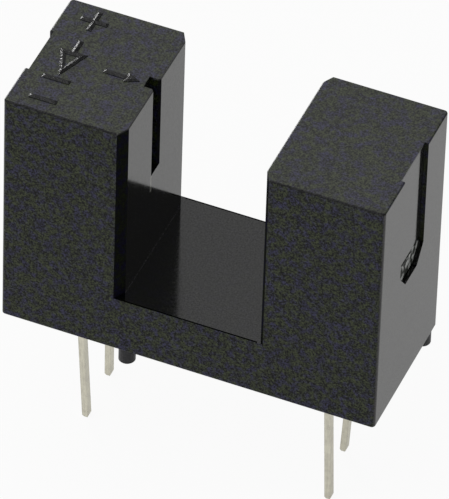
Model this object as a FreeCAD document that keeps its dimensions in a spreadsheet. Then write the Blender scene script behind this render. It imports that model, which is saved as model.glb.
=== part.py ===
import FreeCAD, Part
import math
import os
import re
import Sketcher

# Slotted optical switch for a circuit board, in millimetres.
# The origin is the centre of the housing's bottom face, +X runs along the light beam from
# the infrared LED to the phototransistor, +Y runs to the back and +Z up.
# The two towers differ only in their slits. What a tower holds is drawn at +X, and the LED's
# share of it is then turned half round about Z.

SIZES = [
    # housing
    ("slot_width", 5.0, "gap between the towers"),
    ("slot_floor", 2.3, "height of the gap's floor"),
    ("corner_round", 0.14, "radius of the housing's four outer upright edges"),
    ("edge_round", 0.06, "radius along its level outer edges"),
    ("slot_chamfer_x", 0.25, "chamfer of the gap's upright edges, along the beam"),
    ("slot_chamfer_y", 0.45, "the same chamfer, across the beam"),
    ("slot_wall", 0.4, "wall between the gap and a tower's hollow"),
    ("end_wall", 0.45, "outer end wall"),
    ("side_wall", 0.6, "front and back walls"),
    ("roof", 0.9, "wall over a tower's hollow"),
    # aperture slits, of which the LED's is open at the top
    ("slit_width", 0.54, "aperture slit"),
    ("slit_reach", 1.35, "slit below the beam, and over it where it is closed"),
    ("slit_flare", 0.09, "chamfer of the slit's mouth"),
    # recess and window in the outer end walls
    ("recess_width", 2.1, "recess across the beam"),
    ("recess_depth", 0.145, "recess into the end wall"),
    ("recess_length", 4.2, "recess from the top of the tower down to the window"),
    ("window_height", 0.9, "window under the recess"),
    ("window_cut_y", 0.53, "cut of the window's lower corners, across the beam"),
    ("window_cut_z", 0.65, "the same cut, upright"),
    # locating bosses
    ("boss_diameter", 0.6, "locating boss"),
    ("boss_height", 0.7, "boss below the bottom face"),
    ("boss_margin", 0.06, "side of a boss from the nearest outer faces"),
    ("boss_offset", 2.34, "front boss axis left of the centre"),
    ("boss_chamfer", 0.07, "chamfer round the end of a boss"),
    # moulded packages
    ("package_gap", 0.1, "clearance between a package and its hollow"),
    ("package_thickness", 2.4, "package along the beam, without its lens"),
    ("package_width", 4.3, "package across the beam"),
    ("package_bottom", 2.9, "height of the package's lower face"),
    ("package_chamfer", 0.35, "chamfer of the package's front edges"),
    ("rib_width", 0.4, "rib that grips the package's side"),
    ("nib_gap", 0.05, "clearance between the package's snap nib and the window"),
    ("nib_inset", 0.17, "end of the nib inside the housing's end face"),
    ("nib_slope", 0.12, "slope along the upper edge of the nib"),
    ("beam_height", 7.3, "beam above the bottom face"),
    ("beam_cover", 1.6, "package above the beam, up to the roof"),
    ("lens_radius", 1.5, "lens dome"),
    ("lens_height", 0.95, "lens dome over the package's front"),
    ("lens_gap", 0.1, "lens dome to the slit's wall"),
    # leads and their flat frames
    ("frame_depth", 0.65, "middle of the frame sheet behind the package's front"),
    ("lead_pitch", 2.54, "leads across the beam"),
    ("lead_thickness", 0.22, "frame sheet"),
    ("lead_width", 0.3, "lead across the beam"),
    ("lead_length", 5.42, "lead below the bottom face"),
    ("lead_point", 0.1, "height of the lead's tapered end"),
    ("lead_point_cut", 0.04, "taper on each side at the end"),
    ("stub_height", 0.35, "cut stub of the frame's tie bar"),
    ("stub_width", 0.12, "stub beside the lead"),
    ("stub_drop", 0.9, "stub below the package"),
    ("die_pad_side", 1.5, "square pad that carries the chip"),
    ("arm_height", 0.6, "arm from the lead to the pad"),
    ("bond_head_overhang", 0.12, "head of the other lead past its outer side"),
    ("bond_head_height", 0.8, "the same head, upright"),
    ("frame_gap", 0.22, "gap between the pad and the head"),
    # how far each lead's end stands from its place at the housing
    ("cathode_shift_x", 0.2, "front lead of the LED"),
    ("cathode_shift_y", 0.22, "front lead of the LED"),
    ("anode_shift_x", 0.08, "rear lead of the LED"),
    ("anode_shift_y", -0.09, "rear lead of the LED"),
    ("emitter_shift_x", 0.23, "front lead of the phototransistor"),
    ("emitter_shift_y", -0.07, "front lead of the phototransistor"),
    ("collector_shift_x", -0.19, "rear lead of the phototransistor"),
    ("collector_shift_y", -0.21, "rear lead of the phototransistor"),
    # chips and bond wires
    ("led_chip_side", 0.35, "LED chip"),
    ("led_chip_thickness", 0.2, "LED chip"),
    ("transistor_chip_side", 0.7, "phototransistor chip"),
    ("transistor_chip_thickness", 0.25, "phototransistor chip"),
    ("wire_diameter", 0.04, "bond wire"),
    ("wire_loop", 0.25, "bond wire over the chip"),
    ("wire_bend", 0.12, "radius of the bond wire's bends"),
]

SIZE = {name: number for name, number, meaning in SIZES}

# Places that several sub-parts share, at the tower on +X.
# Each is worked out from the gap outwards: the wall, the lens and its package, then the end wall.
HOLLOW_NEAR = "(slot_width / 2 + slot_wall)"
PACKAGE_FRONT = "(" + HOLLOW_NEAR + " + lens_gap + lens_height)"
PACKAGE_BACK = "(" + PACKAGE_FRONT + " + package_thickness)"
HOLLOW_FAR = "(" + PACKAGE_BACK + " + package_gap)"
BODY_END = "(" + HOLLOW_FAR + " + end_wall)"
HOLLOW_HALF = "(package_width / 2 + package_gap)"
BODY_HALF = "(" + HOLLOW_HALF + " + side_wall)"
HOLLOW_TOP = "(beam_height + beam_cover)"
BODY_TOP = "(" + HOLLOW_TOP + " + roof)"
SLIT_BOTTOM = "(beam_height - slit_reach)"
WINDOW_TOP = "(" + BODY_TOP + " - recess_length)"
WINDOW_BOTTOM = "(" + WINDOW_TOP + " - window_height)"
LEAD_ROW = "(" + PACKAGE_FRONT + " + frame_depth)"
FRAME_FACE = "(" + LEAD_ROW + " - lead_thickness / 2)"

document = FreeCAD.newDocument("photo_interrupter")


def make_sheet():
    sheet = document.addObject("Spreadsheet::Sheet", "Dimensions")
    for row, (name, number, meaning) in enumerate(SIZES, start=1):
        sheet.set("A%d" % row, meaning)
        sheet.set("B%d" % row, str(number))
        sheet.setAlias("B%d" % row, name)
    document.recompute()


def formula(text):
    """Write a formula of size names so that it reads them from the sheet."""
    def from_sheet(word):
        return "Dimensions." + word.group() if word.group() in SIZE else word.group()
    return re.sub(r"[a-z_]+", from_sheet, text)


def value(text):
    """Work out a formula of size names as a plain number."""
    return document.getObject("Dimensions").evalExpression(formula(text))


def bind(thing, place, text):
    thing.setExpression(place, formula(text))


def new_body(name, turn=0):
    body = document.addObject("PartDesign::Body", name)
    body.Label = name
    about_z = FreeCAD.Rotation(FreeCAD.Vector(0, 0, 1), turn)
    body.Placement = FreeCAD.Placement(FreeCAD.Vector(), about_z)
    return body


def origin_part(body, role):
    return next(part for part in body.Origin.OriginFeatures if part.Role == role)


def new_sketch(body, name, plane, height="0"):
    """Sketch on one of the body's origin planes, or at a height over it."""
    sketch = body.newObject("Sketcher::SketchObject", name)
    sketch.AttachmentSupport = (origin_part(body, plane), [""])
    sketch.MapMode = "FlatFace"
    bind(sketch, "AttachmentOffset.Base.z", height)
    return sketch


def fix_point(sketch, curve, end, x, y):
    """Hold one end of a curve at two formulas, measured from the sketch's origin."""
    point = sketch.getPoint(curve, end)
    for kind, text, start in (("DistanceX", x, point.x), ("DistanceY", y, point.y)):
        index = sketch.addConstraint(Sketcher.Constraint(kind, -1, 1, curve, end, start))
        bind(sketch, "Constraints[%d]" % index, text)


def polygon(sketch, corners):
    """Closed outline through corners given as pairs of formulas.

    The corners start on a circle, and the bound distances pull them to their places.
    """
    count = len(corners)
    first = sketch.GeometryCount
    angles = [2 * math.pi * number / count for number in range(count)]
    points = [FreeCAD.Vector(math.cos(angle), math.sin(angle), 0) for angle in angles]
    for number in range(count):
        sketch.addGeometry(Part.LineSegment(points[number], points[(number + 1) % count]), False)
    for number in range(count):
        following = first + (number + 1) % count
        sketch.addConstraint(Sketcher.Constraint("Coincident", first + number, 2, following, 1))
    for number, (x, y) in enumerate(corners):
        fix_point(sketch, first + number, 1, x, y)


def box_outline(sketch, x, y, half_x, half_y):
    """Rectangle round the point x, y."""
    polygon(sketch, [
        (x + " - " + half_x, y + " - " + half_y),
        (x + " + " + half_x, y + " - " + half_y),
        (x + " + " + half_x, y + " + " + half_y),
        (x + " - " + half_x, y + " + " + half_y),
    ])


def circle(sketch, x, y, diameter):
    up = FreeCAD.Vector(0, 0, 1)
    index = sketch.addGeometry(Part.Circle(FreeCAD.Vector(), up, 1.0), False)
    fix_point(sketch, index, 3, x, y)
    size = sketch.addConstraint(Sketcher.Constraint("Diameter", index, 2.0))
    bind(sketch, "Constraints[%d]" % size, diameter)


def extrude(body, kind, name, sketch, length, reverse=False, both_ways=False):
    """Pad or pocket of a sketch, along its normal unless it is reversed."""
    feature = body.newObject("PartDesign::" + kind, name)
    feature.Profile = (sketch, [""])
    feature.Reversed = reverse
    if both_ways:
        feature.SideType = "Symmetric"
    bind(feature, "Length", length)
    document.recompute()
    return feature


def cut_up(body, name, sketch, length):
    """Pocket towards the side that the sketch's normal points to."""
    before = body.Shape.Volume
    feature = extrude(body, "Pocket", name, sketch, length, reverse=True)
    if body.Shape.Volume >= before:
        raise RuntimeError(name + " cuts nothing")
    return feature


def trim_edges(body, kind, name, base, size, wanted):
    """Fillet or chamfer the edges of a feature whose middle point passes a test."""
    shape = base.Shape
    edges = enumerate(shape.Edges, start=1)
    names = ["Edge%d" % number for number, edge in edges if wanted(edge.CenterOfMass)]
    feature = body.newObject("PartDesign::" + kind, name)
    feature.Base = (base, names)
    bind(feature, "Radius" if kind == "Fillet" else "Size", size)
    document.recompute()
    return feature


def near(one, other):
    return abs(one - other) < 1e-4


# Housing

def make_block(body):
    """U-shaped block with rounded outer edges."""
    gap = "slot_width / 2"
    side = new_sketch(body, "side_view", "XZ_Plane")
    polygon(side, [
        ("-" + BODY_END, "0"),
        (BODY_END, "0"),
        (BODY_END, BODY_TOP),
        (gap, BODY_TOP),
        (gap, "slot_floor"),
        ("-" + gap, "slot_floor"),
        ("-" + gap, BODY_TOP),
        ("-" + BODY_END, BODY_TOP),
    ])
    block = extrude(body, "Pad", "block", side, "2 * " + BODY_HALF, both_ways=True)

    def upright(middle):
        return near(abs(middle.x), value(BODY_END)) and near(abs(middle.y), value(BODY_HALF))
    corners = trim_edges(body, "Fillet", "outer_corners", block, "corner_round", upright)

    def level(middle):
        return near(middle.z, 0) or near(middle.z, value(BODY_TOP))
    trim_edges(body, "Fillet", "level_edges", corners, "edge_round", level)


def cut_slot_chamfers(body):
    """Uneven chamfers on the four upright edges of the gap.

    Each triangle runs past both faces that its chamfer joins.
    """
    plan = new_sketch(body, "slot_chamfer_plan", "XY_Plane", "slot_floor")
    for side_x in ("", "-"):
        for side_y in ("", "-"):
            inner_x = side_x + "(slot_width / 2 - slot_chamfer_x)"
            outer_x = side_x + "(slot_width / 2 + 2 * slot_chamfer_x)"
            inner_y = side_y + "(" + BODY_HALF + " - 2 * slot_chamfer_y)"
            outer_y = side_y + "(" + BODY_HALF + " + slot_chamfer_y)"
            polygon(plan, [(inner_x, inner_y), (outer_x, outer_y), (inner_x, outer_y)])
    cut_up(body, "slot_chamfers", plan, BODY_TOP)


def cut_hollow(body):
    """Hollow of a tower, open at the bottom, with a gripping rib on each side wall."""
    middle = "(" + PACKAGE_BACK + " - package_thickness / 2)"
    rib_near = middle + " - rib_width / 2"
    rib_far = middle + " + rib_width / 2"
    plan = new_sketch(body, "hollow_plan", "XY_Plane")
    corners = [
        (HOLLOW_NEAR, HOLLOW_HALF),
        (rib_near, HOLLOW_HALF),
        (rib_near, "package_width / 2"),
        (rib_far, "package_width / 2"),
        (rib_far, HOLLOW_HALF),
        (HOLLOW_FAR, HOLLOW_HALF),
    ]
    polygon(plan, corners + [(x, "-" + y) for x, y in reversed(corners)])
    return cut_up(body, "hollow", plan, HOLLOW_TOP)


def cut_slit(body, name, side, length):
    """Aperture slit with a flared mouth, from the gap into the hollow on one side of X = 0."""
    wide = "(slit_width / 2 + slit_flare)"
    narrow = "slit_width / 2"
    plan = new_sketch(body, name + "_plan", "XY_Plane", SLIT_BOTTOM)
    corners = [
        (side + "(slot_width / 2 - slot_wall)", wide),
        (side + "slot_width / 2", wide),
        (side + "(slot_width / 2 + slit_flare)", narrow),
        (side + HOLLOW_NEAR, narrow),
    ]
    polygon(plan, corners + [(x, "-" + y) for x, y in reversed(corners)])
    cut_up(body, name, plan, length)


def cut_recess(body):
    """Shallow recess down the outer end wall, from the top to the window."""
    half = "recess_width / 2"
    view = new_sketch(body, "recess_view", "YZ_Plane", BODY_END + " - recess_depth")
    polygon(view, [
        ("-" + half, WINDOW_TOP),
        (half, WINDOW_TOP),
        (half, BODY_TOP + " + recess_depth"),
        ("-" + half, BODY_TOP + " + recess_depth"),
    ])
    return cut_up(body, "recess", view, "2 * recess_depth")


def window_outline(gap):
    """Outline with cut lower corners of the window, drawn in by a gap for what fills it."""
    foot = "(recess_width / 2 - window_cut_y - %s / 2)" % gap
    side = "(recess_width / 2 - %s)" % gap
    corners = [
        (foot, "(%s + %s)" % (WINDOW_BOTTOM, gap)),
        (side, "(%s + window_cut_z + %s / 2)" % (WINDOW_BOTTOM, gap)),
        (side, "(%s - %s)" % (WINDOW_TOP, gap)),
    ]
    return corners + [("-" + y, z) for y, z in reversed(corners)]


def cut_window(body):
    """Window through the end wall under the recess."""
    view = new_sketch(body, "window_view", "YZ_Plane", HOLLOW_FAR)
    polygon(view, window_outline("0"))
    return cut_up(body, "window", view, "2 * end_wall")


def add_bosses(body):
    """Two locating bosses below the bottom face, at opposite edges.

    They start inside the block, above the rounding of its lower edges.
    """
    inset = " - boss_diameter / 2 - boss_margin"
    plan = new_sketch(body, "boss_plan", "XY_Plane", "edge_round")
    circle(plan, "-boss_offset", "-(" + BODY_HALF + inset + ")", "boss_diameter")
    circle(plan, BODY_END + inset, BODY_HALF + inset, "boss_diameter")
    bosses = extrude(body, "Pad", "bosses", plan, "edge_round + boss_height", reverse=True)

    def at_end(middle):
        return near(middle.z, -SIZE["boss_height"])
    trim_edges(body, "Chamfer", "boss_ends", bosses, "boss_chamfer", at_end)


def make_housing():
    body = new_body("housing")
    make_block(body)
    cut_slot_chamfers(body)
    hollow = cut_hollow(body)
    recess = cut_recess(body)
    window = cut_window(body)
    other_tower = body.newObject("PartDesign::Mirrored", "other_tower")
    other_tower.Originals = [hollow, recess, window]
    other_tower.MirrorPlane = (origin_part(body, "YZ_Plane"), [""])
    body.Tip = other_tower
    document.recompute()
    cut_slit(body, "led_slit", "-", BODY_TOP)
    cut_slit(body, "phototransistor_slit", "", "2 * slit_reach")
    add_bosses(body)
    return body


# Leads

def add_leg(body, across, shift_x, shift_y):
    """Straight leg below the bottom face, leaning to its shifted end, with a tapered point."""
    half_x = "lead_thickness / 2"
    half_y = "lead_width / 2"
    point_x = "(" + half_x + " - lead_point_cut)"
    point_y = "(" + half_y + " - lead_point_cut)"
    share = " * (1 - lead_point / lead_length)"
    stations = [
        ("leg_top", "0", "", half_x, half_y),
        ("leg_shoulder", "lead_point - lead_length", share, half_x, half_y),
        ("leg_end", "-lead_length", " * 1", point_x, point_y),
    ]
    sketches = []
    for name, height, part_way, size_x, size_y in stations:
        sketch = new_sketch(body, name, "XY_Plane", height)
        x = LEAD_ROW + (" + " + shift_x + part_way if part_way else "")
        y = across + (" + " + shift_y + part_way if part_way else "")
        box_outline(sketch, x, y, size_x, size_y)
        sketches.append(sketch)
    leg = body.newObject("PartDesign::AdditiveLoft", "leg")
    leg.Profile = (sketches[0], [""])
    leg.Sections = [(sketch, [""]) for sketch in sketches[1:]]
    leg.Ruled = True
    document.recompute()


def stub_corners(x, side):
    """Outline of a tie bar stub, from its lower corner up, on one side of a lead."""
    edge = x + side + "lead_width / 2"
    out = edge + side + "stub_width"
    high = "package_bottom - stub_drop"
    low = high + " - stub_height"
    return [(edge, low), (out, low), (out, high), (edge, high)]


def add_frame(body, corners):
    """Flat frame of a lead, above the bottom face, stamped from the sheet."""
    view = new_sketch(body, "frame_view", "YZ_Plane", LEAD_ROW)
    polygon(view, corners)
    extrude(body, "Pad", "frame", view, "lead_thickness", both_ways=True)


def make_pad_lead(name, turn, shift_x, shift_y):
    """Rear lead with the pad that carries the chip."""
    body = new_body(name, turn)
    x = "lead_pitch / 2"
    pad = "die_pad_side / 2"
    arm = "arm_height / 2"
    corners = [(x + " - lead_width / 2", "0"), (x + " + lead_width / 2", "0")]
    corners += stub_corners(x, " + ")
    corners += [
        (x + " + lead_width / 2", "beam_height + " + arm),
        (pad, "beam_height + " + arm),
        (pad, "beam_height + " + pad),
        ("-" + pad, "beam_height + " + pad),
        ("-" + pad, "beam_height - " + pad),
        (pad, "beam_height - " + pad),
        (pad, "beam_height - " + arm),
        (x + " - lead_width / 2", "beam_height - " + arm),
    ]
    corners += reversed(stub_corners(x, " - "))
    add_frame(body, corners)
    add_leg(body, x, shift_x, shift_y)
    return body


def make_bond_lead(name, turn, shift_x, shift_y):
    """Front lead, with the head that takes the bond wire."""
    body = new_body(name, turn)
    x = "-lead_pitch / 2"
    head_inner = "-(die_pad_side / 2 + frame_gap)"
    head_outer = x + " - lead_width / 2 - bond_head_overhang"
    low = "beam_height - bond_head_height / 2"
    high = "beam_height + bond_head_height / 2"
    corners = [(x + " - lead_width / 2", "0"), (x + " + lead_width / 2", "0")]
    corners += stub_corners(x, " + ")
    corners += [
        (x + " + lead_width / 2", low),
        (head_inner, low),
        (head_inner, high),
        (head_outer, high),
        (head_outer, low),
        (x + " - lead_width / 2", low),
    ]
    corners += reversed(stub_corners(x, " - "))
    add_frame(body, corners)
    add_leg(body, x, shift_x, shift_y)
    return body


# Chips and bond wires

def make_chip(name, turn, side, thickness):
    """Chip on the face of the pad that looks at the gap."""
    body = new_body(name, turn)
    view = new_sketch(body, "chip_view", "YZ_Plane", FRAME_FACE)
    box_outline(view, "0", "beam_height", side + " / 2", side + " / 2")
    extrude(body, "Pad", "chip", view, thickness, reverse=True)
    return body


def draw_wire_path(sketch, chip_face, crest):
    """Path off the chip, over to the front lead and down to its head, in plan.

    The curves are first drawn about where they end up, because a bend can close either way.
    """
    bend = SIZE["wire_bend"]
    top = value(crest)
    far = -SIZE["lead_pitch"] / 2
    start = FreeCAD.Vector(top + 2 * bend, 0, 0)
    rise = FreeCAD.Vector(top + bend, 0, 0)
    leave = FreeCAD.Vector(top, -bend, 0)
    arrive = FreeCAD.Vector(top, far + bend, 0)
    fall = FreeCAD.Vector(top + bend, far, 0)
    finish = FreeCAD.Vector(top + 3 * bend, far, 0)
    up = FreeCAD.Vector(0, 0, 1)
    first_centre = Part.Circle(FreeCAD.Vector(top + bend, -bend, 0), up, bend)
    last_centre = Part.Circle(FreeCAD.Vector(top + bend, far + bend, 0), up, bend)
    sketch.addGeometry(Part.LineSegment(start, rise), False)
    sketch.addGeometry(Part.ArcOfCircle(first_centre, math.pi / 2, math.pi), False)
    sketch.addGeometry(Part.LineSegment(leave, arrive), False)
    sketch.addGeometry(Part.ArcOfCircle(last_centre, math.pi, 3 * math.pi / 2), False)
    sketch.addGeometry(Part.LineSegment(fall, finish), False)
    for joint in ((0, 2, 1, 1), (1, 2, 2, 1), (2, 2, 3, 1), (3, 2, 4, 1)):
        sketch.addConstraint(Sketcher.Constraint("Tangent", *joint))
    sketch.addConstraint(Sketcher.Constraint("Horizontal", 0))
    sketch.addConstraint(Sketcher.Constraint("Vertical", 2))
    sketch.addConstraint(Sketcher.Constraint("Horizontal", 4))
    sketch.addConstraint(Sketcher.Constraint("Equal", 1, 3))
    radius = sketch.addConstraint(Sketcher.Constraint("Radius", 1, bend))
    bind(sketch, "Constraints[%d]" % radius, "wire_bend")
    fix_point(sketch, 0, 1, chip_face, "0")
    fix_point(sketch, 4, 2, FRAME_FACE, "-lead_pitch / 2")
    level = sketch.addConstraint(Sketcher.Constraint("DistanceX", -1, 1, 2, 1, top))
    bind(sketch, "Constraints[%d]" % level, crest)


def make_wire(name, turn, chip_thickness):
    """Bond wire from the chip to the head of the front lead."""
    body = new_body(name, turn)
    chip_face = FRAME_FACE + " - " + chip_thickness
    section = new_sketch(body, "wire_section", "YZ_Plane", chip_face)
    circle(section, "0", "beam_height", "wire_diameter")
    path = new_sketch(body, "wire_path", "XY_Plane", "beam_height")
    draw_wire_path(path, chip_face, chip_face + " - wire_loop")
    wire = body.newObject("PartDesign::AdditivePipe", "wire")
    wire.Profile = (section, [""])
    wire.Spine = (path, [])
    document.recompute()
    return body


# Packages

def add_nib(body):
    """Snap nib on the package's back that fills the housing's window, sloped at its upper edge."""
    end = "(" + BODY_END + " - nib_inset)"
    high = "(" + WINDOW_TOP + " - nib_gap)"
    view = new_sketch(body, "nib_view", "YZ_Plane", PACKAGE_BACK)
    polygon(view, window_outline("nib_gap"))
    extrude(body, "Pad", "nib", view, end + " - " + PACKAGE_BACK)
    slope = new_sketch(body, "nib_slope_view", "XZ_Plane")
    polygon(slope, [(end, high + " - nib_slope"), (end, high), (end + " - nib_slope", high)])
    extrude(body, "Pocket", "nib_slope", slope, "recess_width", both_ways=True)


def add_lens(body):
    """Lens dome on the package's front, a cap of a sphere turned round the beam."""
    tip = HOLLOW_NEAR + " + lens_gap"
    outline = new_sketch(body, "lens_outline", "XZ_Plane")
    bind(outline, "AttachmentOffset.Base.y", "beam_height")
    front, rim = value(PACKAGE_FRONT), SIZE["lens_radius"]
    centre = FreeCAD.Vector(value(tip) + SIZE["lens_radius"], 0, 0)
    dome = Part.Circle(centre, FreeCAD.Vector(0, 0, 1), SIZE["lens_radius"])
    start = math.acos((front - centre.x) / SIZE["lens_radius"])
    foot = FreeCAD.Vector(front, 0, 0)
    outline.addGeometry(Part.LineSegment(foot, FreeCAD.Vector(value(tip), 0, 0)), False)
    outline.addGeometry(Part.ArcOfCircle(dome, start, math.pi), False)
    outline.addGeometry(Part.LineSegment(FreeCAD.Vector(front, rim, 0), foot), False)
    for joint in ((0, 2, 1, 2), (1, 1, 2, 1), (2, 2, 0, 1)):
        outline.addConstraint(Sketcher.Constraint("Coincident", *joint))
    outline.addConstraint(Sketcher.Constraint("Vertical", 2))
    fix_point(outline, 0, 1, PACKAGE_FRONT, "0")
    fix_point(outline, 0, 2, tip, "0")
    fix_point(outline, 1, 3, tip + " + lens_radius", "0")
    lens = body.newObject("PartDesign::Revolution", "lens")
    lens.Profile = (outline, [""])
    lens.ReferenceAxis = (outline, ["H_Axis"])
    document.recompute()


def make_package(name, turn, contents):
    """Clear moulding with a lens dome, cast round the leads, the chip and the wire."""
    body = new_body(name + "_form", turn)
    plan = new_sketch(body, "package_plan", "XY_Plane", "package_bottom")
    corners = [
        (PACKAGE_FRONT, "package_width / 2 - package_chamfer"),
        (PACKAGE_FRONT + " + package_chamfer", "package_width / 2"),
        (PACKAGE_BACK, "package_width / 2"),
    ]
    polygon(plan, corners + [(x, "-(" + y + ")") for x, y in reversed(corners)])
    extrude(body, "Pad", "moulding", plan, HOLLOW_TOP + " - package_bottom")
    add_nib(body)
    add_lens(body)
    cast_in = document.addObject("Part::MultiFuse", name + "_contents")
    cast_in.Shapes = contents
    package = document.addObject("Part::Cut", name)
    package.Label = name
    package.Base = body
    package.Tool = cast_in
    document.recompute()
    return package


def make_led():
    turn = 180
    cathode = make_pad_lead("cathode_lead", turn, "-cathode_shift_x", "-cathode_shift_y")
    anode = make_bond_lead("anode_lead", turn, "-anode_shift_x", "-anode_shift_y")
    chip = make_chip("infrared_led_chip", turn, "led_chip_side", "led_chip_thickness")
    wire = make_wire("infrared_led_bond_wire", turn, "led_chip_thickness")
    package = make_package("infrared_led_package", turn, [cathode, anode, chip, wire])
    return [package, cathode, anode, chip, wire]


def make_phototransistor():
    turn = 0
    collector = make_pad_lead("collector_lead", turn, "collector_shift_x", "collector_shift_y")
    emitter = make_bond_lead("emitter_lead", turn, "emitter_shift_x", "emitter_shift_y")
    chip = make_chip("phototransistor_chip", turn, "transistor_chip_side", "transistor_chip_thickness")
    wire = make_wire("phototransistor_bond_wire", turn, "transistor_chip_thickness")
    package = make_package("phototransistor_package", turn, [collector, emitter, chip, wire])
    return [package, collector, emitter, chip, wire]


def check(subparts):
    for thing in document.Objects:
        if "Invalid" in thing.State or "Error" in thing.State:
            raise RuntimeError(thing.Label + " did not compute: " + str(thing.State))
    for subpart in subparts:
        if subpart.Shape.isNull() or not subpart.Shape.isValid():
            raise RuntimeError(subpart.Label + " has no valid shape")


def export(subparts):
    os.makedirs("parts", exist_ok=True)
    for subpart in subparts:
        subpart.Shape.exportStep("parts/" + subpart.Label + ".step")
        print("%-28s %9.4f mm3" % (subpart.Label, subpart.Shape.Volume))


make_sheet()
subparts = [make_housing()] + make_led() + make_phototransistor()
document.recompute()
check(subparts)
export(subparts)
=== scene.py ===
import math

import bmesh
import bpy
from mathutils import Matrix, Vector


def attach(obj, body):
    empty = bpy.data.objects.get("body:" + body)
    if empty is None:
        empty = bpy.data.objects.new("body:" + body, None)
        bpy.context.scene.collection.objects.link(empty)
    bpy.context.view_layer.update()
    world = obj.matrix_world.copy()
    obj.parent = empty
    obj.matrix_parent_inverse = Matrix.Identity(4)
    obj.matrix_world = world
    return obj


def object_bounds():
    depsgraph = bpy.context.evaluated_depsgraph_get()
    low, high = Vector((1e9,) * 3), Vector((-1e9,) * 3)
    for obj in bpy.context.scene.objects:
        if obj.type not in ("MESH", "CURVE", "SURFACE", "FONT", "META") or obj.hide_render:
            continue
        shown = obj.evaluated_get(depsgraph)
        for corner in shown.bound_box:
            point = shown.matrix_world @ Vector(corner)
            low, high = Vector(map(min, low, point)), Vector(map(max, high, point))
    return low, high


# Slotted optical switch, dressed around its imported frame, in metres.

MM = 0.001
WHITE = (1, 1, 1, 1)

# The camera stands as the photograph's did. Azimuth 0 looks along +Y, and a positive one is
# further to +X. The roll turns the camera about its line of sight.
CAMERA_AZIMUTH = math.radians(21.57)
CAMERA_ELEVATION = math.radians(42.82)
CAMERA_ROLL = math.radians(1.95)
CAMERA_TARGET = Vector((0.12, 0.0, 3.265)) * MM
CAMERA_DISTANCE = 282.3 * MM
CAMERA_LENS = 599.0
CAMERA_NEAR = 0.01
CAMERA_FAR = 10.0

# Two square lights at one distance. The key stands in front, high on the left. The glint comes
# in low from behind on the left, where the left sides of the raised marks mirror it.
LIGHT_DISTANCE = 0.4
KEY_DIRECTION = (-0.5, -0.55, 0.75)
KEY_SIZE = 0.3
KEY_POWER = 0.25
GLINT_DIRECTION = (-0.7, 0.69, 0.17)
GLINT_SIZE = 0.1
GLINT_POWER = 0.4

# The room's brightness by the height and by the side from which its light comes. A span is
# where it changes, on a sphere of radius 1.
ROOM_HEIGHT_SPAN = (0.15, 0.55)
ROOM_BY_HEIGHT = (0.35, 0.88)
ROOM_SIDE_SPAN = (-0.1, 0.35)
ROOM_BY_SIDE = (1.0, 0.35)

# The floor's shares of plain white, where the camera sees it and where the part mirrors it.
FLOOR_SIZE = 4.0
FLOOR_COLOUR = (0.8, 0.8, 0.79, 1)
WHITE_SEEN = 0.93
WHITE_MIRRORED = 0.4
MIRRORED_STRENGTH = 0.95

# The full range of a share, and spans of a noise's value that are mapped to other ranges.
FULL = (0.0, 1.0)
NOISE_WIDE = (0.25, 0.75)
NOISE_MIDDLE = (0.3, 0.7)
NOISE_NARROW = (0.35, 0.65)

# Parts of the housing that its material tells apart, in millimetres: the rounding of its level
# edges, the gap with its chamfers, the rims of its floor and the ends of its walls, the line
# where they meet, which has a painted highlight, and the weld line under the slit, painted pale
# as a highlight.
EDGE_ROUND = 0.065
GAP_HALF = 2.5
GAP_FLOOR = 2.3
GAP_RIM = 2.79
WALL_END = 2.4
CHAMFER_REACH = 0.26
LINE_WIDTH = 0.03
WELD_Y = -0.37
WELD_HALF = 0.06
WELD_LOW = 5.25
WELD_HIGH = 5.95

# Limits for a component of a face's normal: for the front and the back, for slanted faces, for
# the gap's floor, and for the top's rounded edges on all sides and at the front and the back.
SIDE_FACING = 0.8
SLANT_FACING = 0.3
FLOOR_FACING = 0.9
ROUND_FACING = 0.98
END_ROUND_FACING = 0.15

# Moulded plastic. Noise scales are per millimetre, here and below, and depths are in
# millimetres. The index of refraction sets how much a face mirrors: the grain's pits vary it,
# and a blind face mirrors nothing.
GRAIN_SCALE = 17.0
CLOUD_SCALE = 1.1
HUE_SCALE = 3.2
STREAK_STRETCH = (9.0, 9.0, 0.35)
POLISHED_ROUGHNESS = (0.07, 0.14)
GRAINED_ROUGHNESS = (0.3, 0.44)
BLACK_SHADES = ((0.0008, 0.0009, 0.0014, 1), (0.002, 0.0021, 0.0018, 1))
FLECK_SHADES = ((0.019, 0.018, 0.084, 1), (0.033, 0.048, 0.003, 1))
FLECK_SPAN = (0.38, 0.75)
HUE_SPAN = (0.39, 0.55)
POLISHED_FLECKS = 0.08
CHAMFER_FLECKS = 0.4
CHAMFER_COLOUR = (0.009, 0.0084, 0.011, 1)
# A painted highlight: the pale line where the gap's floor meets its walls.
CORNER_HIGHLIGHT_COLOUR = (0.045, 0.045, 0.048, 1)
# Painted light and shade that take the place of the plastic's colour on some parts.
PAINTED_LIGHT_COLOURS = {
    # A painted highlight on the weld line.
    "weld_highlight": (0.3, 0.3, 0.27, 1),
    # A painted highlight on the top's rounded edges along the gap.
    "inner_edge_highlight": (0.055, 0.055, 0.055, 1),
    # Painted shade on the top's rounded edges at the front and back.
    "painted_shade_edge": (0.008, 0.008, 0.009, 1),
    # A painted sheen: the bosses are lighter than the rest of the black plastic.
    "boss": (0.028, 0.028, 0.031, 1),
}
POLISHED_IOR = 1.53
DULL_IOR = 1.37
BLIND_IOR = 1.0
FAINT_DROP = 0.2
POLISHED_PITS = 0.1
GRAINED_PITS = 0.145
WAVE_STRENGTH = 0.25
WAVE_DEPTH = 0.004
GRAIN_STRENGTH = 0.6
GRAIN_DEPTH = 0.006

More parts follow.
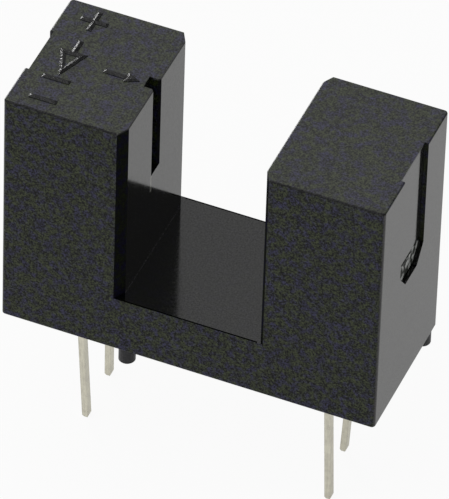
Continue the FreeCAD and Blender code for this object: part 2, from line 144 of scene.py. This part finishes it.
# Tin plating. Two noises are added, so their spans lie round 1.
DRAWN_STRETCH = (22.0, 22.0, 1.2)
BLOTCH_SCALE = 3.5
TIN_SHADES = ((0.66, 0.63, 0.53, 1), (0.87, 0.84, 0.7, 1))
TIN_SHADE_SPAN = (0.75, 1.25)
TIN_ROUGHNESS = (0.25, 0.42)
TIN_ROUGHNESS_SPAN = (0.6, 1.4)
TIN_EDGE = 0.05
DRAWN_STRENGTH = 0.5
DRAWN_DEPTH = 0.006

# Cast epoxy. The packages' snap nibs lie beyond a distance from X = 0, in millimetres.
CLEAR_SHADES = ((0.92, 0.95, 0.98, 1), (0.8, 0.86, 0.92, 1))
SMOKY_SHADES = ((0.22, 0.22, 0.24, 1), (0.12, 0.12, 0.14, 1))
# The torn nib: dark, with pale spots that are painted glints and whitening where it tore.
TORN_GLINT_SHADES = ((0.04, 0.044, 0.038, 1), (0.8, 0.82, 0.8, 1))
TORN_GLINT_SPAN = (0.5, 0.6)
NIB_START = 6.45
FLOW_STRETCH = (1.0, 1.0, 0.4)
FLOW_SCALE = 1.6
SKIN_SCALE = 6.0
TORN_SCALE = 3.6
SKIN_ROUGHNESS = (0.05, 0.12)
TORN_ROUGHNESS = (0.5, 0.2)
SKIN_IOR = 1.54
TORN_IOR = 1.2
SKIN_CLEARNESS = 0.9
TORN_CLEARNESS = 0.05
SKIN_STRENGTH = 0.1
SKIN_DEPTH = 0.004
TORN_DEPTH = 0.25

# Chips and bond wires.
CHIP_SHADES = ((0.02, 0.022, 0.04, 1), (0.03, 0.03, 0.05, 1))
TRACK_COLOUR = (0.5, 0.48, 0.42, 1)
TRACK_WIDTH = 0.03
CHIP_SCALE = 8.0
CHIP_METALLIC = 0.4
CHIP_ROUGHNESS = 0.25
GOLD_SHADES = ((0.9, 0.62, 0.24, 1), (1.0, 0.76, 0.36, 1))
GOLD_SCALE = 30.0
GOLD_ROUGHNESS = (0.15, 0.3)

# Raised marks, where the plastic is rubbed smooth.
WEAR_SCALE = 9.0
WEAR_SHADES = ((0.002, 0.002, 0.003, 1), (0.005, 0.005, 0.005, 1))
WEAR_ROUGHNESS = (0.12, 0.26)
WEAR_IOR = 1.42
WEAR_STRENGTH = 0.9
WEAR_DEPTH = 0.045

# The marks on the LED's tower, in plan and in millimetres: minus, diode and plus stand in a row
# over the LED's leads, and an arrow points along the beam to the slit.
MARK_ROW = -5.7
MARK_WIDTH = 1.0
MARK_STROKE = 0.19
MINUS_Y = -2.25
DIODE_BAR_Y = -1.15
DIODE_TIP_Y = -0.95
DIODE_BASE_Y = 0.35
STEM_END_Y = 0.95
PLUS_Y = 2.05
ARROW_Y = -0.1
ARROW_START_X = -4.4
ARROW_NECK_X = -3.6
ARROW_TIP_X = -3.1
ARROW_HEAD = 0.5

# Levels of a mark, each as a height over the tower's top and a distance in from its outline. The
# sides stand upright from a sunk foot to a shoulder, and slope from there to a narrow crest.
MARK_LEVELS = ((-0.018, 0.0), (0.018, 0.0), (0.06, 0.085))


# Camera, floor and light

def make_camera():
    """Camera that looks at the part as the photograph's did."""
    data = bpy.data.cameras.new("camera")
    data.lens = CAMERA_LENS
    data.clip_start = CAMERA_NEAR
    data.clip_end = CAMERA_FAR
    back = Vector((
        math.sin(CAMERA_AZIMUTH) * math.cos(CAMERA_ELEVATION),
        -math.cos(CAMERA_AZIMUTH) * math.cos(CAMERA_ELEVATION),
        math.sin(CAMERA_ELEVATION),
    ))
    right = Vector((math.cos(CAMERA_AZIMUTH), math.sin(CAMERA_AZIMUTH), 0))
    axes = Matrix((right, back.cross(right), back)).transposed().to_4x4()
    camera = bpy.data.objects.new("camera", data)
    place = Matrix.Translation(CAMERA_TARGET + back * CAMERA_DISTANCE)
    camera.matrix_world = place @ axes @ Matrix.Rotation(CAMERA_ROLL, 4, "Z")
    bpy.context.scene.collection.objects.link(camera)
    bpy.context.scene.camera = camera


def make_floor(height):
    """Level square under the tips of the leads."""
    mesh = bpy.data.meshes.new("floor")
    half = FLOOR_SIZE / 2
    plan = [(-half, -half), (half, -half), (half, half), (-half, half)]
    mesh.from_pydata([(x, y, height) for x, y in plan], [], [(0, 1, 2, 3)])
    floor = bpy.data.objects.new("floor", mesh)
    bpy.context.scene.collection.objects.link(floor)
    mesh.materials.append(floor_material())


def make_light(name, direction, size, power):
    """Soft square light that faces the part from a direction."""
    data = bpy.data.lights.new(name, "AREA")
    data.shape = "SQUARE"
    data.size = size
    data.energy = power
    light = bpy.data.objects.new(name, data)
    towards = Vector(direction).normalized()
    turn = towards.to_track_quat("Z", "Y").to_matrix().to_4x4()
    light.matrix_world = Matrix.Translation(towards * LIGHT_DISTANCE) @ turn
    bpy.context.scene.collection.objects.link(light)


# Node helpers

class Nodes:
    """A node tree that is filled by short calls.

    An input is named as on the node, with _ for a space, or by i and its number. Its value is a
    socket or a plain value. A mask is 1 on what it marks and 0 elsewhere.
    """

    def __init__(self, tree):
        self.tree = tree
        tree.nodes.clear()

    def add(self, kind, settings=None, **inputs):
        node = self.tree.nodes.new(kind)
        for name, value in (settings or {}).items():
            setattr(node, name, value)
        for name, value in inputs.items():
            numbered = name[0] == "i" and name[1:].isdigit()
            socket = node.inputs[int(name[1:]) if numbered else name.replace("_", " ")]
            if isinstance(value, bpy.types.NodeSocket):
                self.tree.links.new(value, socket)
            else:
                socket.default_value = value
        return node

    def math(self, operation, first, second=0.0):
        node = self.add("ShaderNodeMath", {"operation": operation}, i0=first, i1=second)
        return node.outputs[0]

    def away(self, value, centre=0.0):
        """Distance of a value from a centre."""
        return self.math("ABSOLUTE", self.math("SUBTRACT", value, centre))

    def over(self, value, limit):
        return self.math("GREATER_THAN", value, limit)

    def under(self, value, limit):
        return self.math("LESS_THAN", value, limit)

    def all(self, first, *others):
        """1 where every mask is 1."""
        for other in others:
            first = self.math("MULTIPLY", first, other)
        return first

    def any(self, first, *others):
        """1 where one mask or more is 1."""
        for other in others:
            first = self.math("MAXIMUM", first, other)
        return first

    def invert(self, mask):
        """1 where the mask is 0."""
        return self.math("SUBTRACT", 1.0, mask)

    def choose(self, mask, plain, marked):
        """One number off the mask and another on it."""
        node = self.add("ShaderNodeMix", {"data_type": "FLOAT"}, i0=mask, i2=plain, i3=marked)
        return node.outputs[0]

    def blend(self, share, first, second):
        """Mix two colours."""
        node = self.add("ShaderNodeMix", {"data_type": "RGBA"}, i0=share, i6=first, i7=second)
        return node.outputs[2]

    def spread(self, value, span, result):
        """Map a value from a span to a resulting range, clamped."""
        low, high = span
        to_low, to_high = result
        node = self.add("ShaderNodeMapRange", i0=value, i1=low, i2=high, i3=to_low, i4=to_high)
        return node.outputs[0]

    def split(self, vector):
        return self.add("ShaderNodeSeparateXYZ", Vector=vector).outputs

    def stretch(self, place, scale):
        """Coordinates times a scale for each axis."""
        return self.add("ShaderNodeMapping", Vector=place, Scale=scale).outputs[0]

    def noise(self, place, scale=1.0, detail=2.0):
        node = self.add("ShaderNodeTexNoise", Vector=place, Scale=scale, Detail=detail)
        return node.outputs["Fac"]

    def bump(self, height, strength, depth, normal=None):
        """Roughen a normal, by a depth in millimetres."""
        node = self.add("ShaderNodeBump", Height=height, Strength=strength, Distance=depth * MM)
        if normal is not None:
            self.tree.links.new(normal, node.inputs["Normal"])
        return node.outputs[0]

    def mix_shaders(self, share, first, second):
        return self.add("ShaderNodeMixShader", i0=share, i1=first, i2=second).outputs[0]

    def finish(self, **inputs):
        """End a material with one Principled surface."""
        surface = self.add("ShaderNodeBsdfPrincipled", **inputs).outputs[0]
        self.add("ShaderNodeOutputMaterial", Surface=surface)


def new_material(name):
    material = bpy.data.materials.new(name)
    material.use_nodes = True
    return material, Nodes(material.node_tree)


def millimetres(nodes):
    """The object's own coordinates, in millimetres."""
    place = nodes.add("ShaderNodeTexCoord").outputs["Object"]
    return nodes.stretch(place, (1 / MM, 1 / MM, 1 / MM))


# Surroundings

def floor_material():
    """Pale floor that shows nearly white and keeps a faint shadow, and is clear from below."""
    material, nodes = new_material("pale_floor")
    ray = nodes.add("ShaderNodeLightPath").outputs
    mirrored = nodes.any(ray["Is Glossy Ray"], ray["Is Transmission Ray"])
    seen_share = nodes.choose(ray["Is Camera Ray"], 0.0, WHITE_SEEN)
    mirrored_share = nodes.choose(mirrored, 0.0, WHITE_MIRRORED)
    share = nodes.math("MAXIMUM", seen_share, mirrored_share)
    strength = nodes.choose(mirrored, 1.0, MIRRORED_STRENGTH)
    plain = nodes.add("ShaderNodeBsdfDiffuse", Color=FLOOR_COLOUR).outputs[0]
    white = nodes.add("ShaderNodeEmission", Color=WHITE, Strength=strength).outputs[0]
    clear = nodes.add("ShaderNodeBsdfTransparent").outputs[0]
    below = nodes.add("ShaderNodeNewGeometry").outputs["Backfacing"]
    whole = nodes.mix_shaders(below, nodes.mix_shaders(share, plain, white), clear)
    nodes.add("ShaderNodeOutputMaterial", Surface=whole)
    return material


def make_world():
    """White for the camera, and for the part a soft room, darker low down and on the right."""
    world = bpy.data.worlds.new("studio")
    world.use_nodes = True
    bpy.context.scene.world = world
    nodes = Nodes(world.node_tree)
    direction = nodes.split(nodes.add("ShaderNodeTexCoord").outputs["Generated"])
    by_height = nodes.spread(direction["Z"], ROOM_HEIGHT_SPAN, ROOM_BY_HEIGHT)
    by_side = nodes.spread(direction["X"], ROOM_SIDE_SPAN, ROOM_BY_SIDE)
    level = nodes.math("MULTIPLY", by_height, by_side)
    room = nodes.add("ShaderNodeBackground", Color=WHITE, Strength=level).outputs[0]
    white = nodes.add("ShaderNodeBackground", Color=WHITE, Strength=1.0).outputs[0]
    seen = nodes.add("ShaderNodeLightPath").outputs["Is Camera Ray"]
    nodes.add("ShaderNodeOutputWorld", Surface=nodes.mix_shaders(seen, room, white))


# Materials

def housing_masks(nodes, place, top):
    """Masks of the housing's parts, told by where they lie and which way they face."""
    facing = nodes.split(nodes.add("ShaderNodeNewGeometry").outputs["True Normal"])
    along = nodes.away(facing["X"])
    across = nodes.away(facing["Y"])
    spot = nodes.split(place)
    aside = nodes.away(spot["X"])
    deep = nodes.away(spot["Y"])
    height = spot["Z"]
    chamfer_end = GAP_HALF + CHAMFER_REACH

    body = nodes.over(height, 0.0)
    on_top = nodes.over(height, top / MM - EDGE_ROUND)
    front_or_back = nodes.all(nodes.over(across, SIDE_FACING), body)
    slanted = nodes.over(nodes.math("MINIMUM", along, across), SLANT_FACING)
    chamfer = nodes.all(slanted, body, nodes.under(aside, chamfer_end))
    inside = nodes.all(
        nodes.under(across, SLANT_FACING),
        nodes.under(aside, GAP_HALF + LINE_WIDTH),
        nodes.over(height, GAP_FLOOR - LINE_WIDTH),
    )
    rim = nodes.all(
        inside,
        nodes.over(facing["Z"], FLOOR_FACING),
        nodes.under(height, GAP_FLOOR + LINE_WIDTH),
        nodes.over(deep, GAP_RIM),
    )
    from_wall = nodes.math("SUBTRACT", GAP_HALF, aside)
    over_floor = nodes.math("SUBTRACT", height, GAP_FLOOR)
    meeting = nodes.under(nodes.math("MAXIMUM", from_wall, over_floor), LINE_WIDTH)
    # The weld line down the wall from the LED's slit. Its pale colour is a painted highlight.
    weld_highlight = nodes.all(
        inside,
        nodes.under(spot["X"], 0.0),
        nodes.under(nodes.away(spot["Y"], WELD_Y), WELD_HALF),
        nodes.over(height, WELD_LOW),
        nodes.under(height, WELD_HIGH),
    )
    top_edge = nodes.all(on_top, nodes.under(facing["Z"], ROUND_FACING))
    end_round = nodes.over(across, END_ROUND_FACING)
    return {
        "top": on_top,
        "boss": nodes.invert(body),
        "grained": nodes.any(front_or_back, on_top),
        "chamfer": chamfer,
        "blind": nodes.any(chamfer, rim),
        # The line where the gap's floor meets its walls, which gets a painted highlight.
        "corner": nodes.all(inside, meeting, nodes.under(deep, WALL_END)),
        "weld_highlight": weld_highlight,
        # A painted highlight on the top's rounded edges along the gap.
        "inner_edge_highlight": nodes.all(top_edge, nodes.under(aside, chamfer_end)),
        # Painted shade on the top's rounded edges at the front and back.
        "painted_shade_edge": nodes.all(top_edge, end_round, nodes.over(aside, chamfer_end)),
    }


def housing_material(top):
    """Black moulded plastic, finely grained outside and polished in the gap and on the ends.

    The gap's chamfers and the front and back rims of its floor mirror nothing. A pale line of
    painted highlight runs where the floor meets the walls, and a weld line runs down the wall from
    the LED's slit, painted pale as a highlight. The top's rounded edges have a painted highlight
    along the gap and painted shade at the front and back. The bosses are plain and dull, with a
    painted sheen that makes them lighter than the rest.
    """
    material, nodes = new_material("moulded_black")
    place = millimetres(nodes)
    masks = housing_masks(nodes, place, top)
    grained = masks["grained"]
    grain = nodes.noise(place, GRAIN_SCALE)
    cloud = nodes.noise(place, CLOUD_SCALE)
    streak = nodes.noise(nodes.stretch(place, STREAK_STRETCH), detail=3.0)

    hue = nodes.spread(nodes.noise(place, HUE_SCALE), HUE_SPAN, FULL)
    chamfer_share = nodes.choose(masks["chamfer"], 0.0, CHAMFER_FLECKS)
    flecked = nodes.choose(nodes.any(grained, chamfer_share), POLISHED_FLECKS, 1.0)
    fleck_share = nodes.math("MULTIPLY", nodes.spread(grain, FLECK_SPAN, FULL), flecked)
    # A painted highlight along the line where the gap's floor meets its walls, broken by a streak
    # noise.
    corner_highlight_share = nodes.spread(streak, NOISE_NARROW, (0.0, masks["corner"]))
    colour = nodes.blend(cloud, *BLACK_SHADES)
    colour = nodes.blend(masks["chamfer"], colour, CHAMFER_COLOUR)
    colour = nodes.blend(fleck_share, colour, nodes.blend(hue, *FLECK_SHADES))
    colour = nodes.blend(corner_highlight_share, colour, CORNER_HIGHLIGHT_COLOUR)
    # Painted highlights, painted shade and a painted sheen take the place of the plastic's colour
    # on some parts.
    for part, painted_colour in PAINTED_LIGHT_COLOURS.items():
        colour = nodes.blend(masks[part], colour, painted_colour)

    polished = nodes.spread(streak, NOISE_MIDDLE, POLISHED_ROUGHNESS)
    rough = nodes.spread(grain, NOISE_WIDE, GRAINED_ROUGHNESS)
    roughness = nodes.choose(nodes.any(grained, masks["boss"]), polished, rough)

    dull = nodes.all(grained, nodes.invert(masks["top"]))
    # The bosses, and the top's edges with painted shade at the front and back, mirror less.
    faint = nodes.any(masks["boss"], masks["painted_shade_edge"])
    level = nodes.choose(dull, POLISHED_IOR, DULL_IOR)
    level = nodes.math("SUBTRACT", level, nodes.choose(faint, 0.0, FAINT_DROP))
    pit_depth = nodes.choose(grained, POLISHED_PITS, GRAINED_PITS)
    pits = nodes.math("MULTIPLY", nodes.spread(grain, NOISE_MIDDLE, (-1.0, 1.0)), pit_depth)
    ior = nodes.choose(masks["blind"], nodes.math("ADD", level, pits), BLIND_IOR)

    waves = nodes.bump(cloud, WAVE_STRENGTH, WAVE_DEPTH)
    grain_strength = nodes.choose(grained, 0.0, GRAIN_STRENGTH)
    fine = nodes.bump(grain, grain_strength, GRAIN_DEPTH, waves)
    nodes.finish(Base_Color=colour, Roughness=roughness, IOR=ior, Normal=fine)
    return material


def tin_material():
    """Tin-plated sheet with fine drawing marks along the lead and softened edges."""
    material, nodes = new_material("tinned_lead")
    place = millimetres(nodes)
    drawn = nodes.noise(nodes.stretch(place, DRAWN_STRETCH), detail=3.0)
    blotch = nodes.noise(place, BLOTCH_SCALE, detail=3.0)
    both = nodes.math("ADD", drawn, blotch)
    soft_edges = nodes.add("ShaderNodeBevel", Radius=TIN_EDGE * MM).outputs[0]
    nodes.finish(
        Base_Color=nodes.blend(nodes.spread(both, TIN_SHADE_SPAN, FULL), *TIN_SHADES),
        Metallic=1.0,
        Roughness=nodes.spread(both, TIN_ROUGHNESS_SPAN, TIN_ROUGHNESS),
        Normal=nodes.bump(drawn, DRAWN_STRENGTH, DRAWN_DEPTH, soft_edges),
    )
    return material


def epoxy_material(name, shades):
    """Cast epoxy with faint flow lines and a polished skin, but torn and dull at the snap nib,
    whose pale spots are painted glints and whitening where it tore.
    """
    material, nodes = new_material(name)
    place = millimetres(nodes)
    flow = nodes.noise(nodes.stretch(place, FLOW_STRETCH), FLOW_SCALE, detail=3.0)
    skin = nodes.noise(place, SKIN_SCALE, detail=3.0)
    torn = nodes.noise(place, TORN_SCALE, detail=4.0)
    nib = nodes.over(nodes.away(nodes.split(place)["X"]), NIB_START)
    # Pale spots in the torn nib's colour are painted glints and whitening where it tore.
    nib_glint_colour = nodes.blend(nodes.spread(torn, TORN_GLINT_SPAN, FULL), *TORN_GLINT_SHADES)
    polished = nodes.spread(skin, NOISE_MIDDLE, SKIN_ROUGHNESS)
    rough = nodes.spread(torn, NOISE_NARROW, TORN_ROUGHNESS)
    smooth = nodes.bump(skin, SKIN_STRENGTH, SKIN_DEPTH)
    nodes.finish(
        Base_Color=nodes.blend(nib, nodes.blend(flow, *shades), nib_glint_colour),
        Roughness=nodes.choose(nib, polished, rough),
        IOR=nodes.choose(nib, SKIN_IOR, TORN_IOR),
        Transmission_Weight=nodes.choose(nib, SKIN_CLEARNESS, TORN_CLEARNESS),
        Normal=nodes.bump(torn, nib, TORN_DEPTH, smooth),
    )
    return material


def chip_material():
    """Dark semiconductor with a fine grid of bright tracks."""
    material, nodes = new_material("chip")
    first_shade, second_shade = CHIP_SHADES
    grid = nodes.add(
        "ShaderNodeTexBrick", Vector=millimetres(nodes), Scale=CHIP_SCALE,
        Color1=first_shade, Color2=second_shade, Mortar=TRACK_COLOUR, Mortar_Size=TRACK_WIDTH,
    )
    nodes.finish(
        Base_Color=grid.outputs["Color"], Metallic=CHIP_METALLIC, Roughness=CHIP_ROUGHNESS,
    )
    return material


def gold_material():
    """Drawn gold wire."""
    material, nodes = new_material("bond_wire")
    drawn = nodes.noise(millimetres(nodes), GOLD_SCALE)
    nodes.finish(
        Base_Color=nodes.blend(drawn, *GOLD_SHADES),
        Metallic=1.0,
        Roughness=nodes.spread(drawn, NOISE_MIDDLE, GOLD_ROUGHNESS),
    )
    return material


def mark_material():
    """The housing's plastic where it stands proud and has been rubbed smooth."""
    material, nodes = new_material("raised_marks")
    wear = nodes.noise(millimetres(nodes), WEAR_SCALE, detail=3.0)
    nodes.finish(
        Base_Color=nodes.blend(wear, *WEAR_SHADES),
        Roughness=nodes.spread(wear, NOISE_MIDDLE, WEAR_ROUGHNESS),
        IOR=WEAR_IOR,
        Normal=nodes.bump(wear, WEAR_STRENGTH, WEAR_DEPTH),
    )
    return material


# Raised marks. An outline or ring keeps the mark's plastic on its left.

def points(*pairs):
    return [Vector(pair) for pair in pairs]


def left_of(direction):
    """The direction, turned a quarter to the left."""
    return Vector((-direction.y, direction.x))


def inset(ring, distance):
    """A closed ring with its sides moved to their left."""
    moved = []
    for number, point in enumerate(ring):
        before = left_of((point - ring[number - 1]).normalized())
        after = left_of((ring[(number + 1) % len(ring)] - point).normalized())
        moved.append(point + (before + after) * distance / (1 + before.dot(after)))
    return moved


def bar_outline(y):
    """Straight stroke across the row of marks."""
    left = MARK_ROW - MARK_WIDTH / 2
    right = MARK_ROW + MARK_WIDTH / 2
    half = MARK_STROKE / 2
    return points((left, y - half), (right, y - half), (right, y + half), (left, y + half))


def diode_rings():
    """Hollow triangle with a stem, and the hole in the triangle."""
    half = MARK_STROKE / 2
    tip = (MARK_ROW, DIODE_TIP_Y)
    left = (MARK_ROW - MARK_WIDTH / 2, DIODE_BASE_Y)
    right = (MARK_ROW + MARK_WIDTH / 2, DIODE_BASE_Y)
    stem = [
        (MARK_ROW + half, DIODE_BASE_Y), (MARK_ROW + half, STEM_END_Y),
        (MARK_ROW - half, STEM_END_Y), (MARK_ROW - half, DIODE_BASE_Y),
    ]
    hole = inset(points(tip, right, left), MARK_STROKE)
    return [points(tip, right, *stem, left), hole[::-1]]


def plus_outline():
    """Cross of two equal strokes, made from one quarter that is turned round its centre."""
    centre = Vector((MARK_ROW, PLUS_Y))
    arm = MARK_WIDTH / 2
    half = MARK_STROKE / 2
    quarter = points((arm, half), (half, half), (half, arm))
    outline = []
    for _ in range(4):
        outline += [centre + corner for corner in quarter]
        quarter = [left_of(corner) for corner in quarter]
    return outline


def arrow_outline():
    """Arrow that points to +X."""
    half = MARK_STROKE / 2
    head = ARROW_HEAD / 2
    outline = points(
        (ARROW_START_X, -half), (ARROW_NECK_X, -half), (ARROW_NECK_X, -head), (ARROW_TIP_X, 0),
        (ARROW_NECK_X, head), (ARROW_NECK_X, half), (ARROW_START_X, half),
    )
    return [Vector((0, ARROW_Y)) + corner for corner in outline]


def add_mark(build, rings, top):
    """Closed shell of a mark, with one ring of corners for each of its rings and levels."""
    levels = []
    for height, distance in MARK_LEVELS:
        level = []
        for ring in rings:
            z = top + height * MM
            corners = [(corner.x * MM, corner.y * MM, z) for corner in inset(ring, distance)]
            level.append([build.verts.new(corner) for corner in corners])
        levels.append(level)
    for lower, upper in zip(levels, levels[1:]):
        for low, high in zip(lower, upper):
            for number in range(len(low)):
                build.faces.new((low[number - 1], low[number], high[number], high[number - 1]))
    for level in (levels[0], levels[-1]):
        pairs = [(ring[number - 1], ring[number]) for ring in level for number in range(len(ring))]
        rim = [build.edges.get(pair) for pair in pairs]
        bmesh.ops.triangle_fill(build, edges=rim, use_beauty=True)


def make_marks(top):
    """Low ridges with sloped sides that stand on the tower's top."""
    build = bmesh.new()
    marks = [
        [bar_outline(MINUS_Y)],
        [bar_outline(DIODE_BAR_Y)],
        diode_rings(),
        [plus_outline()],
        [arrow_outline()],
    ]
    for rings in marks:
        add_mark(build, rings, top)
    bmesh.ops.recalc_face_normals(build, faces=build.faces)
    mesh = bpy.data.meshes.new("raised_marks")
    build.to_mesh(mesh)
    build.free()
    mesh.materials.append(mark_material())
    piece = bpy.data.objects.new("raised_marks", mesh)
    bpy.context.scene.collection.objects.link(piece)
    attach(piece, "root")


# The whole part

def dress(frame, material, *names):
    """Give CAD nodes one material in place of their own."""
    for name in names:
        mesh = frame["nodes"][name].data
        mesh.materials.clear()
        mesh.materials.append(material)


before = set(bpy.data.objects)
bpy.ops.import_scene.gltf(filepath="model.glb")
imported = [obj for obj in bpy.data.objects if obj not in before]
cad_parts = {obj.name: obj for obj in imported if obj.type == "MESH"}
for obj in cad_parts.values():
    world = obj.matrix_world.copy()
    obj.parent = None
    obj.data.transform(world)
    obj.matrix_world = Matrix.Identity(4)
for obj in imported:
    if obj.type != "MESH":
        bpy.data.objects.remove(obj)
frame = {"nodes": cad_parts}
cad_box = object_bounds()
low, high = cad_box
bpy.context.scene.view_settings.view_transform = "Standard"
make_camera()
make_floor(low[2])
make_world()
make_light("key", KEY_DIRECTION, KEY_SIZE, KEY_POWER)
make_light("glint", GLINT_DIRECTION, GLINT_SIZE, GLINT_POWER)
dress(frame, housing_material(high[2]), "housing")
dress(frame, tin_material(), "cathode_lead", "anode_lead", "emitter_lead", "collector_lead")
dress(frame, epoxy_material("clear_epoxy", CLEAR_SHADES), "infrared_led_package")
dress(frame, epoxy_material("smoky_epoxy", SMOKY_SHADES), "phototransistor_package")
dress(frame, chip_material(), "infrared_led_chip", "phototransistor_chip")
dress(frame, gold_material(), "infrared_led_bond_wire", "phototransistor_bond_wire")
make_marks(high[2])
